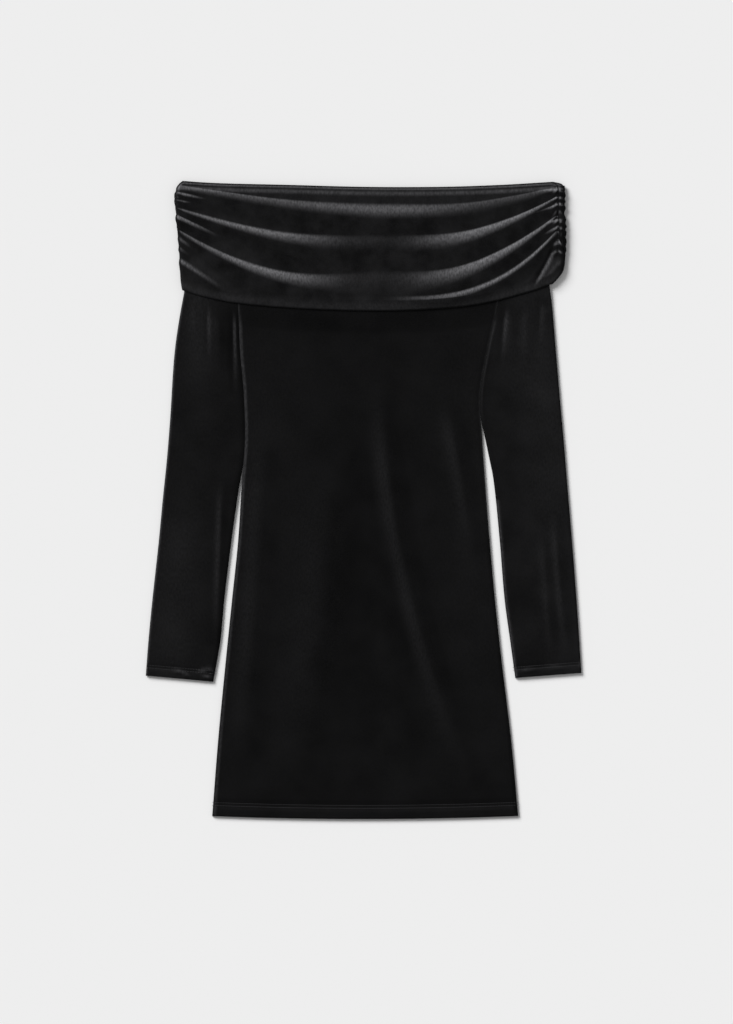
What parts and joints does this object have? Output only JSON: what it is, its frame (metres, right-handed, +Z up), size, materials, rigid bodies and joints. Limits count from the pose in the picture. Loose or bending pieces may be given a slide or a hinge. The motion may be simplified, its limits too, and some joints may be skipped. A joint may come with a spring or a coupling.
{
  "type": "off-the-shoulder dress",
  "caption": "Velvet mini dress laid flat, with long sleeves and a deep turned-over collar that hangs in swags from ruched side seams",
  "frame": {"origin": "middle of the dress's footprint, on the surface that the back panel rests on", "axes": "+X runs across the dress to its right side as seen from above, +Y along the dress from hem to neckline, +Z up, out of the front"},
  "size_m": [0.5664, 0.8297, 0.0137],
  "materials": {
    "velvet": "black stretch velvet with a short nap, matt when seen straight on and silvery along the flanks of its folds"
  },
  "bodies": {
    "root": {"back_panel": "velvet", "front_panel": "velvet", "sleeve_left": "velvet", "sleeve_right": "velvet", "collar_back": "velvet", "collar_front": "velvet"}
  },
  "joints": []
}
